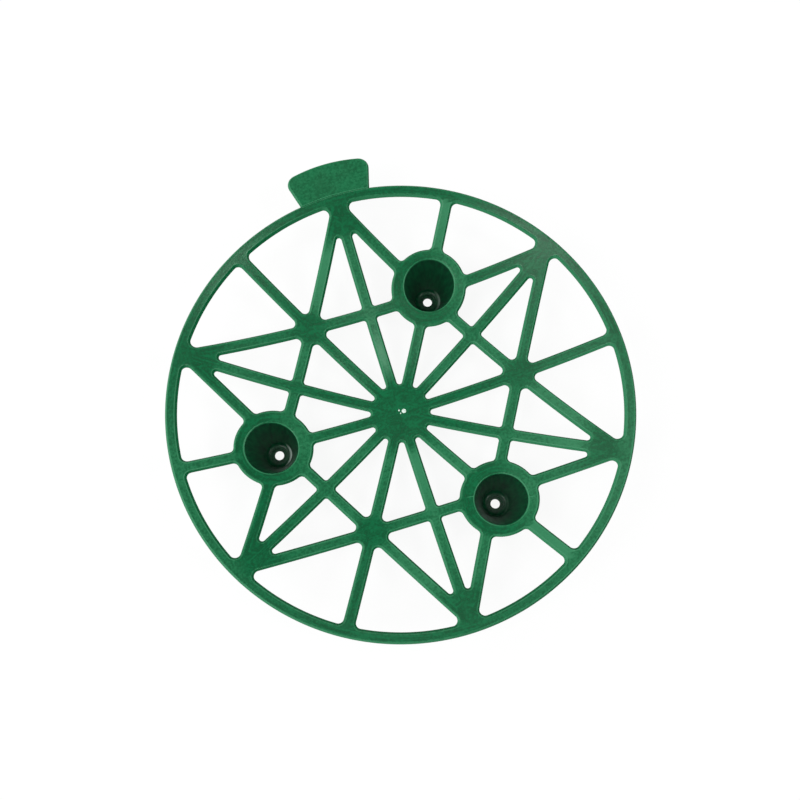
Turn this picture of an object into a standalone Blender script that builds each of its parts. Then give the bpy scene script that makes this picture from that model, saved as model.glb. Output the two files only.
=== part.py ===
"""Melon support tray.

A dished round lattice that keeps a ripening melon off the soil. It has a rim,
a flat hub, twelve radial rib lines and a six-pointed star of straight bars.
Three hollow tapered legs, open at the top as cups and drained at the bottom,
stand under the star's crossings, and a grip tab reaches out past the rim.

Everything is moulded in one plastic, so nothing here moves: the objects are
the members of the lattice, each its own closed solid.

Units are metres, +Z is up and the grip tab points along +Y. The origin is on
the ground, in the middle of the tray's outline with its tab.
"""

import math

import bmesh
import bpy
from mathutils import Vector

COLLECTION_NAME = "melon_support_tray"
CUTTER_COLLECTION_NAME = "tray_cutters"

# Rim, lattice and dish
TRAY_HEIGHT = 0.0350
RIM_OUTER_RADIUS = 0.0975
RIM_WIDTH = 0.0048
RIM_CHAMFER = 0.0005
LATTICE_THICKNESS = 0.0025
RIB_WIDTH = 0.0047
DISH_RADIUS = 0.220

# Star: its tips lie this far past the rim's inner edge
TIP_PAST_RIM_EDGE = 0.0003

# Webs where members meet
NARROW_CORNER_RADIUS = 0.0012
JOINT_CORNER_RADIUS = 0.0020
CUP_CORNER_RADIUS = 0.0020
RIM_CORNER_RADIUS = 0.0022
STUB_LENGTH = 0.0018

# Leg cups
CUP_OFFSET = 0.0027
FLANGE_RADIUS = 0.0165
MOUTH_RADIUS = 0.0109
CUP_FLOOR_RADIUS = 0.0054
CUP_FLOOR_HEIGHT = 0.0015
LEG_WALL = 0.0015
DRAIN_HOLE_RADIUS = 0.00205
DRAIN_STEP_RADIUS = 0.0034
DRAIN_STEP_DEPTH = 0.0006

# Grip tab
TAB_REACH = 0.0155
TAB_ROOT_WIDTH = 0.0324
TAB_END_WIDTH = 0.0384
TAB_END_ARC_RADIUS = 0.066
TAB_CORNER_RADIUS = 0.0038
TAB_THICKNESS = 0.0025
TAB_CHAMFER = 0.0004

# Space between neighbouring members
GAP = 0.0003

# How finely curved shapes are stepped
FACET_LENGTH = 0.008
RIM_STEPS = 96
LEG_STEPS = 48
FILLET_STEPS = 3
FLANGE_ARC_STEP = math.radians(12.0)
TIP_ARC_STEPS = 4
TAB_ARC_STEPS = 10
CUTTER_MARGIN = 0.005
WELD_DISTANCE = 0.00001
SETTLE_ROUNDS = 8
SHARP_EDGE_ANGLE = math.radians(35.0)

# Angles of the lattice, in degrees
RADIAL_STEP = 30.0
STAR_STEP = 60.0

# The moulded plastic
GREEN = (0.016, 0.140, 0.056, 1.0)
PLASTIC_ROUGHNESS = 0.42
PLASTIC_METALLIC = 0.0

# Sizes that follow from the ones above
RIM_INNER_RADIUS = RIM_OUTER_RADIUS - RIM_WIDTH
RIM_SEAT_RADIUS = RIM_INNER_RADIUS - GAP
STAR_RADIUS = RIM_INNER_RADIUS + TIP_PAST_RIM_EDGE
CROSSING_RADIUS = STAR_RADIUS / math.sqrt(3.0)
CUP_CENTRE_RADIUS = CROSSING_RADIUS + CUP_OFFSET
TRAY_AXIS_Y = -TAB_REACH / 2.0

TIP_ANGLES = [90.0 - STAR_STEP * k for k in range(6)]
CUP_ANGLES = [60.0, -60.0, 180.0]
JOINT_ANGLES = [0.0, -120.0, 120.0]


def web_reach(corner_radius, degrees_between):
    """How far a web's stubs reach when its ribs meet at an angle."""
    half_angle = math.radians(degrees_between / 2.0)
    return (RIB_WIDTH / 2.0 + corner_radius) / math.tan(half_angle) + STUB_LENGTH


HUB_REACH = web_reach(NARROW_CORNER_RADIUS, RADIAL_STEP)
TIP_REACH = HUB_REACH
JOINT_REACH = web_reach(JOINT_CORNER_RADIUS, STAR_STEP)
CUP_REACH = FLANGE_RADIUS + CUP_CORNER_RADIUS + STUB_LENGTH

# The hub is flat out to the corners of its stubs
HUB_FLAT_RADIUS = math.hypot(HUB_REACH, RIB_WIDTH / 2.0)


def dish_rise(radius):
    """Height of the dish's surface above the flat hub, at a radius."""
    if radius <= HUB_FLAT_RADIUS:
        return 0.0
    edge = DISH_RADIUS - math.sqrt(DISH_RADIUS ** 2 - HUB_FLAT_RADIUS ** 2)
    return DISH_RADIUS - math.sqrt(DISH_RADIUS ** 2 - radius ** 2) - edge


def dish_top(radius):
    """Height of the lattice's top face above the ground, at a radius."""
    return TRAY_HEIGHT - dish_rise(RIM_OUTER_RADIUS) + dish_rise(radius)


def polar(radius, degrees):
    angle = math.radians(degrees)
    return Vector((radius * math.cos(angle), radius * math.sin(angle)))


def left_of(direction):
    return Vector((-direction.y, direction.x))


def arc_points(centre, start, end, steps, clockwise=False):
    """Points from start to end around centre, both ends included."""
    first = start - centre
    last = end - centre
    turn = math.atan2(first.x * last.y - first.y * last.x, first.dot(last))
    if clockwise and turn > 0.0:
        turn -= 2.0 * math.pi
    if not clockwise and turn < 0.0:
        turn += 2.0 * math.pi
    points = []
    for i in range(steps + 1):
        angle = turn * i / steps
        spoke = Vector((
            first.x * math.cos(angle) - first.y * math.sin(angle),
            first.x * math.sin(angle) + first.y * math.cos(angle),
        ))
        points.append(centre + spoke)
    return points


class Arm:
    """A rib's stub on a web: a line past the web's centre, and its reach."""

    def __init__(self, degrees, reach, offset=0.0):
        self.along = polar(1.0, degrees)
        self.left = left_of(self.along)
        self.degrees = degrees
        self.reach = reach
        self.offset = offset

    def point(self, distance, side):
        """A point at a distance along the arm, on its side at +1 or -1."""
        shift = self.offset + side * RIB_WIDTH / 2.0
        return self.along * distance + self.left * shift


def corner_between(first, second, corner_radius, disc_radius):
    """Outline from the first arm's left side to the second arm's right side."""
    gap_angle = math.radians((second.degrees - first.degrees) % 360.0)
    clear = RIB_WIDTH / 2.0 + corner_radius
    first_shift = first.offset + clear
    second_shift = second.offset - clear
    along = (first_shift * math.cos(gap_angle) - second_shift) / math.sin(gap_angle)
    centre = first.along * along + first.left * first_shift
    if gap_angle < math.pi and along > 0.0 and centre.length - corner_radius >= disc_radius:
        start = centre - first.left * corner_radius
        end = centre + second.left * corner_radius
        return arc_points(centre, start, end, FILLET_STEPS + 1, clockwise=True)

    rise = disc_radius + corner_radius
    near = first.along * math.sqrt(rise ** 2 - first_shift ** 2) + first.left * first_shift
    far = second.along * math.sqrt(rise ** 2 - second_shift ** 2) + second.left * second_shift
    near_rim = near * (disc_radius / rise)
    far_rim = far * (disc_radius / rise)
    sweep = (math.atan2(far.y, far.x) - math.atan2(near.y, near.x)) % (2.0 * math.pi)
    disc_steps = max(2, round(sweep / FLANGE_ARC_STEP))
    outline = arc_points(near, near - first.left * corner_radius, near_rim, FILLET_STEPS, clockwise=True)
    outline += arc_points(Vector((0.0, 0.0)), near_rim, far_rim, disc_steps)[1:]
    outline += arc_points(far, far_rim, far + second.left * corner_radius, FILLET_STEPS, clockwise=True)[1:]
    return outline


def web_outline(arms, corner_radius, disc_radius=0.0):
    """A web round the origin, with arms listed counter-clockwise."""
    outline = []
    for index, arm in enumerate(arms):
        following = arms[(index + 1) % len(arms)]
        outline.append(arm.point(arm.reach, -1.0))
        outline.append(arm.point(arm.reach, 1.0))
        outline += corner_between(arm, following, corner_radius, disc_radius)
    return outline


def rim_corner(line_point, along, outward):
    """Fillet between a member's side and the rim's seat circle.

    outward points from the member towards the fillet's centre. Gives the
    centre, the point on the member's side and the point on the seat circle.
    """
    inner = RIM_SEAT_RADIUS - RIM_CORNER_RADIUS
    base = line_point + outward * RIM_CORNER_RADIUS
    half = base.dot(along)
    root = math.sqrt(half ** 2 - base.length_squared + inner ** 2)
    centre = base + along * (root - half)
    on_side = centre - outward * RIM_CORNER_RADIUS
    on_rim = centre * (RIM_SEAT_RADIUS / inner)
    return centre, on_side, on_rim


def rim_ended_outline(lower_side, upper_side, lower_along, upper_along):
    """The rim end of a member that points along +X, lower side first."""
    lower_out = -left_of(lower_along)
    upper_out = left_of(upper_along)
    lower_centre, lower_start, lower_rim = rim_corner(lower_side, lower_along, lower_out)
    upper_centre, upper_end, upper_rim = rim_corner(upper_side, upper_along, upper_out)
    outline = arc_points(lower_centre, lower_start, lower_rim, FILLET_STEPS, clockwise=True)
    outline += arc_points(Vector((0.0, 0.0)), lower_rim, upper_rim, TIP_ARC_STEPS)[1:]
    outline += arc_points(upper_centre, upper_rim, upper_end, FILLET_STEPS, clockwise=True)[1:]
    return outline


def make_material(name):
    material = bpy.data.materials.new(name)
    material.use_nodes = True
    shader = material.node_tree.nodes["Principled BSDF"]
    shader.inputs["Base Color"].default_value = GREEN
    shader.inputs["Roughness"].default_value = PLASTIC_ROUGHNESS
    shader.inputs["Metallic"].default_value = PLASTIC_METALLIC
    material.diffuse_color = GREEN
    return material


def link_piece(name, mesh, tray, turn_degrees=0.0):
    """Put a finished mesh into the tray as a named object."""
    mesh.shade_smooth()
    mesh.set_sharp_from_angle(angle=SHARP_EDGE_ANGLE)
    mesh.materials.clear()
    mesh.materials.append(make_material(name))
    piece = bpy.data.objects.new(name, mesh)
    piece.rotation_euler.z = math.radians(turn_degrees)
    piece.parent = tray
    bpy.data.collections[COLLECTION_NAME].objects.link(piece)
    return piece


def flat_slab(outline, thickness):
    """A mesh of a flat outline, from z = -thickness to z = 0."""
    curve = bpy.data.curves.new("outline", "CURVE")
    curve.dimensions = "2D"
    curve.fill_mode = "BOTH"
    curve.extrude = thickness / 2.0
    spline = curve.splines.new("POLY")
    spline.points.add(len(outline) - 1)
    for point, place in zip(spline.points, outline):
        point.co = (place.x, place.y, 0.0, 1.0)
    spline.use_cyclic_u = True
    guide = bpy.data.objects.new("outline", curve)
    bpy.context.scene.collection.objects.link(guide)
    bpy.context.view_layer.update()
    evaluated = guide.evaluated_get(bpy.context.evaluated_depsgraph_get())
    mesh = bpy.data.meshes.new_from_object(evaluated)
    bpy.data.objects.remove(guide)
    bpy.data.curves.remove(curve)

    slab = bmesh.new()
    slab.from_mesh(mesh)
    bmesh.ops.remove_doubles(slab, verts=slab.verts, dist=WELD_DISTANCE)
    bmesh.ops.translate(slab, verts=slab.verts, vec=(0.0, 0.0, -thickness / 2.0))
    bmesh.ops.recalc_face_normals(slab, faces=slab.faces)
    slab.to_mesh(mesh)
    slab.free()
    return mesh


def lay_on_dish(mesh, place=Vector((0.0, 0.0)), degrees=0.0, cut_axes=(0,)):
    """Cut a flat slab into short facets, place it and lift it onto the dish."""
    slab = bmesh.new()
    slab.from_mesh(mesh)
    bmesh.ops.triangulate(slab, faces=slab.faces)
    for axis in cut_axes:
        low = min(vertex.co[axis] for vertex in slab.verts)
        high = max(vertex.co[axis] for vertex in slab.verts)
        cuts = math.ceil((high - low) / FACET_LENGTH)
        normal = Vector((1.0, 0.0, 0.0)) if axis == 0 else Vector((0.0, 1.0, 0.0))
        for i in range(1, cuts):
            cut = normal * (low + (high - low) * i / cuts)
            everything = slab.verts[:] + slab.edges[:] + slab.faces[:]
            bmesh.ops.bisect_plane(slab, geom=everything, dist=WELD_DISTANCE, plane_co=cut, plane_no=normal)
    bmesh.ops.remove_doubles(slab, verts=slab.verts, dist=WELD_DISTANCE)
    bmesh.ops.dissolve_degenerate(slab, dist=WELD_DISTANCE, edges=slab.edges)
    bmesh.ops.triangulate(slab, faces=slab.faces)
    along = polar(1.0, degrees)
    for vertex in slab.verts:
        spot = place + along * vertex.co.x + left_of(along) * vertex.co.y
        vertex.co = (spot.x, spot.y, vertex.co.z + dish_top(spot.length))
    slab.to_mesh(mesh)
    slab.free()


def build_rim(tray):
    """The outer ring, turned from a section that leans with the dish."""
    inner = RIM_INNER_RADIUS
    outer = RIM_OUTER_RADIUS
    chamfer = RIM_CHAMFER
    corners = [
        (outer - chamfer, dish_top(outer - chamfer)),
        (outer, dish_top(outer) - chamfer),
        (outer, dish_top(outer) - LATTICE_THICKNESS + chamfer),
        (outer - chamfer, dish_top(outer - chamfer) - LATTICE_THICKNESS),
        (inner + chamfer, dish_top(inner + chamfer) - LATTICE_THICKNESS),
        (inner, dish_top(inner) - LATTICE_THICKNESS + chamfer),
        (inner, dish_top(inner) - chamfer),
        (inner + chamfer, dish_top(inner + chamfer)),
    ]
    mesh = bpy.data.meshes.new("rim")
    edges = [(i, (i + 1) % len(corners)) for i in range(len(corners))]
    mesh.from_pydata([(x, 0.0, z) for x, z in corners], edges, [])
    rim = link_piece("rim", mesh, tray)
    turn = rim.modifiers.new("turn", "SCREW")
    turn.steps = RIM_STEPS
    turn.render_steps = RIM_STEPS
    turn.use_merge_vertices = True
    turn.merge_threshold = WELD_DISTANCE
    turn.use_smooth_shade = True


def build_hub(tray):
    """The flat hub with the roots of the twelve radial ribs."""
    arms = [Arm(RADIAL_STEP * k, HUB_REACH) for k in range(12)]
    mesh = flat_slab(web_outline(arms, NARROW_CORNER_RADIUS), LATTICE_THICKNESS)
    lay_on_dish(mesh, cut_axes=())
    link_piece("hub", mesh, tray)


def build_joint_plates(tray):
    """The three webs where two star bars cross a radial rib."""
    arms = [Arm(STAR_STEP * k, JOINT_REACH) for k in range(6)]
    centre = Vector((CROSSING_RADIUS, 0.0))
    for number, angle in enumerate(JOINT_ANGLES, start=1):
        mesh = flat_slab(web_outline(arms, JOINT_CORNER_RADIUS), LATTICE_THICKNESS)
        lay_on_dish(mesh, centre, cut_axes=(0, 1))
        link_piece(f"joint_plate_{number}", mesh, tray, angle)


def build_star_tips(tray):
    """The six webs at the star's points, flared where they meet the rim."""
    tip = Vector((STAR_RADIUS, 0.0))
    arms = [Arm(180.0 + RADIAL_STEP * k, TIP_REACH) for k in (-1, 0, 1)]
    outline = []
    for index, arm in enumerate(arms):
        outline.append(tip + arm.point(TIP_REACH, -1.0))
        outline.append(tip + arm.point(TIP_REACH, 1.0))
        if arm is not arms[-1]:
            corner = corner_between(arm, arms[index + 1], NARROW_CORNER_RADIUS, 0.0)
            outline += [tip + point for point in corner]
    outline += rim_ended_outline(
        tip + arms[-1].point(0.0, 1.0), tip + arms[0].point(0.0, -1.0),
        -arms[-1].along, -arms[0].along,
    )
    for number, angle in enumerate(TIP_ANGLES, start=1):
        mesh = flat_slab(outline, LATTICE_THICKNESS)
        lay_on_dish(mesh)
        link_piece(f"star_tip_{number}", mesh, tray, angle)


def straight_rib(start, end):
    """A plain flat rib along +X, between two distances."""
    bar = bmesh.new()
    bmesh.ops.create_cube(bar, size=1.0)
    bmesh.ops.scale(bar, verts=bar.verts, vec=(end - start, RIB_WIDTH, LATTICE_THICKNESS))
    middle = ((start + end) / 2.0, 0.0, -LATTICE_THICKNESS / 2.0)
    bmesh.ops.translate(bar, verts=bar.verts, vec=middle)
    mesh = bpy.data.meshes.new("rib")
    bar.to_mesh(mesh)
    bar.free()
    return mesh


def build_long_ribs(tray):
    """The six ribs that run from the hub to the star's tips."""
    for number, angle in enumerate(TIP_ANGLES, start=1):
        mesh = straight_rib(HUB_REACH + GAP, STAR_RADIUS - TIP_REACH - GAP)
        lay_on_dish(mesh)
        link_piece(f"long_rib_{number}", mesh, tray, angle)


def build_short_ribs(tray, web_name, angles, centre_radius, stub_reach):
    """The ribs on both sides of a cup or joint plate, out to the rim."""
    half = RIB_WIDTH / 2.0
    outer_start = centre_radius + stub_reach + GAP
    outline = [Vector((outer_start, half)), Vector((outer_start, -half))]
    along = Vector((1.0, 0.0))
    outline += rim_ended_outline(outline[1], outline[0], along, along)
    for number, angle in enumerate(angles, start=1):
        inner = straight_rib(HUB_REACH + GAP, centre_radius - stub_reach - GAP)
        lay_on_dish(inner)
        link_piece(f"{web_name}_inner_rib_{number}", inner, tray, angle)
        outer = flat_slab(outline, LATTICE_THICKNESS)
        lay_on_dish(outer)
        link_piece(f"{web_name}_outer_rib_{number}", outer, tray, angle)


def cup_arms():
    """The six arms of a cup whose centre lies along +X from the tray's axis."""
    crossing = Vector((-CUP_OFFSET, 0.0))
    to_long_rib = CROSSING_RADIUS * math.sin(math.radians(RADIAL_STEP))
    arms = []
    for k in range(6):
        arm = Arm(STAR_STEP * k, CUP_REACH)
        arm.offset = crossing.dot(arm.left)
        if k in (2, 4):
            arm.reach = crossing.dot(arm.along) + to_long_rib - RIB_WIDTH / 2.0 - GAP
        arms.append(arm)
    return arms


def leg_radius(height):
    """Inner radius of the tapered leg at a height above the ground."""
    mouth_height = dish_top(CUP_CENTRE_RADIUS)
    taper = (MOUTH_RADIUS - CUP_FLOOR_RADIUS) / (mouth_height - CUP_FLOOR_HEIGHT)
    return CUP_FLOOR_RADIUS + taper * (height - CUP_FLOOR_HEIGHT)


def leg_shell(centre):
    """The leg's outer cone, its top ring lifted into the flange."""
    cone = bmesh.new()
    foot = leg_radius(0.0) + LEG_WALL
    top_height = dish_top(CUP_CENTRE_RADIUS)
    bmesh.ops.create_cone(
        cone, cap_ends=True, segments=LEG_STEPS, radius1=foot,
        radius2=leg_radius(top_height) + LEG_WALL, depth=top_height,
    )
    for vertex in cone.verts:
        direction = Vector((vertex.co.x, vertex.co.y)).normalized()
        height = 0.0
        if vertex.co.z > 0.0:
            height = top_height
            for _ in range(SETTLE_ROUNDS):
                place = centre + direction * (leg_radius(height) + LEG_WALL)
                height = dish_top(place.length) - LATTICE_THICKNESS / 2.0
        place = centre + direction * (leg_radius(height) + LEG_WALL)
        vertex.co = (place.x, place.y, height)
    bmesh.ops.triangulate(cone, faces=[face for face in cone.faces if len(face.verts) > 4])
    mesh = bpy.data.meshes.new("leg")
    cone.to_mesh(mesh)
    cone.free()
    return mesh


def cup_cutter(tray, number, angle):
    """The hollow of a leg cup: cone, stepped floor and drain hole."""
    top = dish_top(RIM_OUTER_RADIUS) + CUTTER_MARGIN
    step_height = CUP_FLOOR_HEIGHT - DRAIN_STEP_DEPTH
    profile = [
        (0.0, top),
        (leg_radius(top), top),
        (CUP_FLOOR_RADIUS, CUP_FLOOR_HEIGHT),
        (DRAIN_STEP_RADIUS, CUP_FLOOR_HEIGHT),
        (DRAIN_STEP_RADIUS, step_height),
        (DRAIN_HOLE_RADIUS, step_height),
        (DRAIN_HOLE_RADIUS, -CUTTER_MARGIN),
        (0.0, -CUTTER_MARGIN),
    ]
    mesh = bpy.data.meshes.new(f"cup_hollow_{number}")
    edges = [(i, i + 1) for i in range(len(profile) - 1)]
    mesh.from_pydata([(x, 0.0, z) for x, z in profile], edges, [])
    cutter = bpy.data.objects.new(f"cup_hollow_{number}", mesh)
    centre = polar(CUP_CENTRE_RADIUS, angle)
    cutter.location = (centre.x, centre.y, 0.0)
    cutter.rotation_euler.z = math.radians(angle)
    cutter.parent = tray
    cutter.hide_render = True
    cutter.display_type = "WIRE"
    bpy.data.collections[CUTTER_COLLECTION_NAME].objects.link(cutter)
    turn = cutter.modifiers.new("turn", "SCREW")
    turn.steps = LEG_STEPS
    turn.render_steps = LEG_STEPS
    turn.use_merge_vertices = True
    turn.merge_threshold = WELD_DISTANCE
    turn.use_smooth_shade = True
    return cutter


def build_leg_cups(tray):
    """The three cups: flange, hollow leg and drained foot in one piece."""
    centre = Vector((CUP_CENTRE_RADIUS, 0.0))
    arms = cup_arms()
    for number, angle in enumerate(CUP_ANGLES, start=1):
        mesh = flat_slab(web_outline(arms, CUP_CORNER_RADIUS, FLANGE_RADIUS), LATTICE_THICKNESS)
        lay_on_dish(mesh, centre, cut_axes=(0, 1))
        cup = link_piece(f"leg_cup_{number}", mesh, tray, angle)

        leg = bpy.data.objects.new(f"leg_cone_{number}", leg_shell(centre))
        leg.rotation_euler.z = math.radians(angle)
        leg.parent = tray
        leg.hide_render = True
        leg.display_type = "WIRE"
        bpy.data.collections[CUTTER_COLLECTION_NAME].objects.link(leg)

        join = cup.modifiers.new("join_leg", "BOOLEAN")
        join.operation = "UNION"
        join.object = leg
        hollow = cup.modifiers.new("hollow", "BOOLEAN")
        hollow.operation = "DIFFERENCE"
        hollow.object = cup_cutter(tray, number, angle)


def build_star_bars(tray):
    """The star's bars, three on each of its six lines.

    Lines come in pairs at each cup. Along a line from the tip beside the cup
    lie the cup, the crossed long rib, the joint plate and the far tip.
    """
    side = STAR_RADIUS * math.sqrt(3.0)
    at_cup = side / 3.0 - CUP_OFFSET * math.cos(math.radians(STAR_STEP))
    at_rib = side / 2.0
    at_joint = side * 2.0 / 3.0
    spans = {
        "tip_bar": (TIP_REACH + GAP, at_cup - CUP_REACH - GAP),
        "middle_bar": (at_rib + RIB_WIDTH / 2.0 + GAP, at_joint - JOINT_REACH - GAP),
        "far_bar": (at_joint + JOINT_REACH + GAP, side - TIP_REACH - GAP),
    }
    number = 0
    for cup_angle in CUP_ANGLES:
        for hand in (1.0, -1.0):
            number += 1
            chord_start = polar(STAR_RADIUS, RADIAL_STEP * hand)
            chord_angle = -2.0 * STAR_STEP * hand
            for name, (start, end) in spans.items():
                mesh = straight_rib(start, end)
                lay_on_dish(mesh, chord_start, chord_angle)
                link_piece(f"star_{name}_{number}", mesh, tray, cup_angle)


def build_grip_tab(tray):
    """The flat tab past the rim, its outer edge an arc with round corners."""
    root_radius = RIM_OUTER_RADIUS + GAP
    end_radius = RIM_OUTER_RADIUS + TAB_REACH
    root_half = TAB_ROOT_WIDTH / 2.0
    end_half = TAB_END_WIDTH / 2.0
    root = Vector((root_half, math.sqrt(root_radius ** 2 - root_half ** 2)))
    end_centre = Vector((0.0, end_radius - TAB_END_ARC_RADIUS))
    end_drop = TAB_END_ARC_RADIUS - math.sqrt(TAB_END_ARC_RADIUS ** 2 - end_half ** 2)
    corner = Vector((end_half, end_radius - end_drop))
    side = (corner - root).normalized()
    inward = left_of(side)

    # The corner circle touches the side from inside, and the end arc too
    base = root + inward * TAB_CORNER_RADIUS - end_centre
    reach = TAB_END_ARC_RADIUS - TAB_CORNER_RADIUS
    half = base.dot(side)
    root_term = math.sqrt(half ** 2 - base.length_squared + reach ** 2)
    corner_centre = end_centre + base + side * (root_term - half)
    on_side = corner_centre - inward * TAB_CORNER_RADIUS
    on_end = end_centre + (corner_centre - end_centre) * (TAB_END_ARC_RADIUS / reach)

    right = [root]
    right += arc_points(corner_centre, on_side, on_end, 2 * FILLET_STEPS)
    mirrored_end = Vector((-on_end.x, on_end.y))
    end_arc = arc_points(end_centre, on_end, mirrored_end, TAB_ARC_STEPS)[1:-1]
    left = [Vector((-point.x, point.y)) for point in reversed(right)]
    root_arc = arc_points(Vector((0.0, 0.0)), left[-1], right[0], TAB_ARC_STEPS, clockwise=True)[1:-1]
    mesh = flat_slab(right + end_arc + left + root_arc, TAB_THICKNESS)
    tab = bmesh.new()
    tab.from_mesh(mesh)
    top = dish_top(RIM_OUTER_RADIUS)
    bmesh.ops.translate(tab, verts=tab.verts, vec=(0.0, 0.0, top))
    tab.to_mesh(mesh)
    tab.free()
    piece = link_piece("grip_tab", mesh, tray)
    soften = piece.modifiers.new("soften", "BEVEL")
    soften.width = TAB_CHAMFER
    soften.segments = 1
    soften.limit_method = "ANGLE"
    soften.angle_limit = SHARP_EDGE_ANGLE


def main():
    for item in list(bpy.data.objects):
        bpy.data.objects.remove(item)
    for name in (COLLECTION_NAME, CUTTER_COLLECTION_NAME):
        collection = bpy.data.collections.new(name)
        bpy.context.scene.collection.children.link(collection)

    tray = bpy.data.objects.new("tray_axis", None)
    tray.location = (0.0, TRAY_AXIS_Y, 0.0)
    bpy.data.collections[COLLECTION_NAME].objects.link(tray)

    build_rim(tray)
    build_hub(tray)
    build_joint_plates(tray)
    build_star_tips(tray)
    build_leg_cups(tray)
    build_long_ribs(tray)
    build_short_ribs(tray, "cup", CUP_ANGLES, CUP_CENTRE_RADIUS, CUP_REACH)
    build_short_ribs(tray, "joint", JOINT_ANGLES, CROSSING_RADIUS, JOINT_REACH)
    build_star_bars(tray)
    build_grip_tab(tray)


main()
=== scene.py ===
import math

import bpy
from bpy.props import FloatProperty, FloatVectorProperty, IntProperty, PointerProperty
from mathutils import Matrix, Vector


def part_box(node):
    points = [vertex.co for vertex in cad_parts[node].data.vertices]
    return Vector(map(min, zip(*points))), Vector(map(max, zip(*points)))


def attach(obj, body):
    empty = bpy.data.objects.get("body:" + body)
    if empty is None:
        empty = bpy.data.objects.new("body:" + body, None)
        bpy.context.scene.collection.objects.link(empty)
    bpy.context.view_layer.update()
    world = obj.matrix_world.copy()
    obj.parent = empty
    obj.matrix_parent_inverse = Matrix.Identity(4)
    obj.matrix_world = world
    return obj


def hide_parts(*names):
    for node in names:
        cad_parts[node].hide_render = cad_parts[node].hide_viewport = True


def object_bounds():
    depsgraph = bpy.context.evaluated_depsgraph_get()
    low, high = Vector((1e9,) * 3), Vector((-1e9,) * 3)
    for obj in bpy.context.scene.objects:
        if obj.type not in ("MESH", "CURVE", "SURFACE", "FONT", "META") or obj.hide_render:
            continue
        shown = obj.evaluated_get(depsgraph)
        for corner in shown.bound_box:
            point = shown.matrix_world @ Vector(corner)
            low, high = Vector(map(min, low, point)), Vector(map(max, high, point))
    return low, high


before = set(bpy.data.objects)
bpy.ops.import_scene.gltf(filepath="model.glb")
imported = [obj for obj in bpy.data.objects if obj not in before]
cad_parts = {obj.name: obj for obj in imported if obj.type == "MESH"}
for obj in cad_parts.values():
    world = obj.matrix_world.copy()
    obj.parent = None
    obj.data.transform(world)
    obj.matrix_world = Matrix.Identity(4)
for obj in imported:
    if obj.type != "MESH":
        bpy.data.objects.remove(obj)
CAD_LOW, CAD_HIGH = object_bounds()
RIM_LOW, RIM_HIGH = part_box("rim")
TAB_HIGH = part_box("grip_tab")[1]

bl_info = {
    "name": "Melon Support Tray",
    "version": (1, 0, 0),
    "blender": (4, 5, 0),
    "location": "View3D > Sidebar > Melon Tray",
    "description": "Models a dished, moulded melon support tray with its legs, grip tab and stage",
    "category": "Add Mesh",
}

# Everything is modelled round the tray's own axis and set on the frame last
TRAY_AXIS = Vector(((RIM_LOW.x + RIM_HIGH.x) / 2.0, (RIM_LOW.y + RIM_HIGH.y) / 2.0, 0.0))

# Directions in the lattice, in radians from +X
RADIAL_STEP = math.radians(30.0)
STAR_STEP = math.radians(60.0)
CUP_ANGLES = [math.radians(a) for a in (60.0, -60.0, 180.0)]
JOINT_ANGLES = [math.radians(a) for a in (0.0, -120.0, 120.0)]

# How finely round shapes are stepped
ARC_STEP = math.radians(12.0)
FLANGE_STEP = math.radians(4.0)
RIM_STEP = math.radians(1.5)
LEG_SEGMENTS = 96
QUARTER_TURNS = [math.pi / 2.0 * i / 4.0 for i in range(1, 5)]
CONE_STEPS = 12
FACET_LENGTH = 0.005

# Points closer than this are welded
WELD_DISTANCE = 0.00002

# How far a cutter clears a face, and how far its ends reach past the part
CLEAR_CUT = 0.00006
PAST_FACE = 0.001

# A point less than this below the top face lies on it
SHALLOW = 0.000002

# Half of a plate's side, from its middle up to its face: outwards and upwards as shares of the
# side's reach and of half the thickness. A straight drafted side ends in a small round edge
SIDE_PROFILE = ((0.431, 0.885), (0.378, 0.942), (0.308, 0.979), (0.230, 0.992))

# Distances over which paleness fades: out from a joint's middle, and along a rib into a star's tip
JOINT_FADE = (0.005, 0.010)
TIP_FADE = (0.076, 0.082)

# The paleness below is a painted sheen: members are drawn paler where the lamps would catch them
# How pale the members are, counter-clockwise from +X: each rib at the middle and at the rim, the rim
# beyond each rib, and each star bar at its first tip and at its second. Less than 0 counts as 0
RIB_PALENESS = (
    (-0.1, 0.3), (0.8, -0.05), (-0.05, 1.35), (0.75, 0.75), (0.3, 0.1), (-0.5, 1.0),
    (-0.05, 0.75), (1.05, -0.2), (1.0, -0.15), (1.7, 0.0), (0.65, 1.35), (-0.5, 1.55),
)
RIM_PALENESS = (0.0, 0.0, 0.0, 0.05, 0.2, 0.05, 0.75, 0.4, 0.0, 0.0, 0.6, 0.55)
BAR_PALENESS = ((1.05, 0.3), (0.0, 0.45), (1.6, -0.5), (0.15, 1.05), (0.45, 0.45), (0.75, 0.15))
# The right half of each flange and the whole tab are drawn paler: painted light from the lamps
FLANGE_PALENESS = 0.85
TAB_PALENESS = 0.42

# The paleness past which a face takes on the edges' green, what an edge adds, and that of a lip
# What an edge adds, and a lip's paleness, are painted highlights on their round edges
FULL_PALENESS = 0.75
EDGE_PALENESS = 0.8
LIP_PALENESS = 1.5

# How strong the painted glint on the floor of each hollow is, in the order of the cups' angles
FLOOR_GLINTS = (0.22, 0.05, 0.7)

# The moulding's finishes, in the order of its materials, and the share of a lip that has the first
MOULDED, MATT, SHADED_POLISHED = range(3)
MOULDED_LIP = 0.7

# Where the sides with painted light and the floor corners with painted glints face
LIT_SIDE_FACING = (-0.95, -0.31, 0.0)
GLINT_FACING = (-0.95, 0.30, 0.1)

# How much polypropylene bends light
PLASTIC_IOR = 1.49

# Satin grain is far finer than this; it is drawn 1.1 mm wide, 900 to the metre, so that it shows
GRAIN = {"Scale": 900.0, "Detail": 2.0, "Roughness": 0.6}

# The painted glare on a rib: its place from the hub's middle, and half of its width and length
GLARE_PLACE = Vector((0.0, 0.0275, 0.0))
GLARE_REACH = (0.0042, 0.0160, 0.0)
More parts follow.
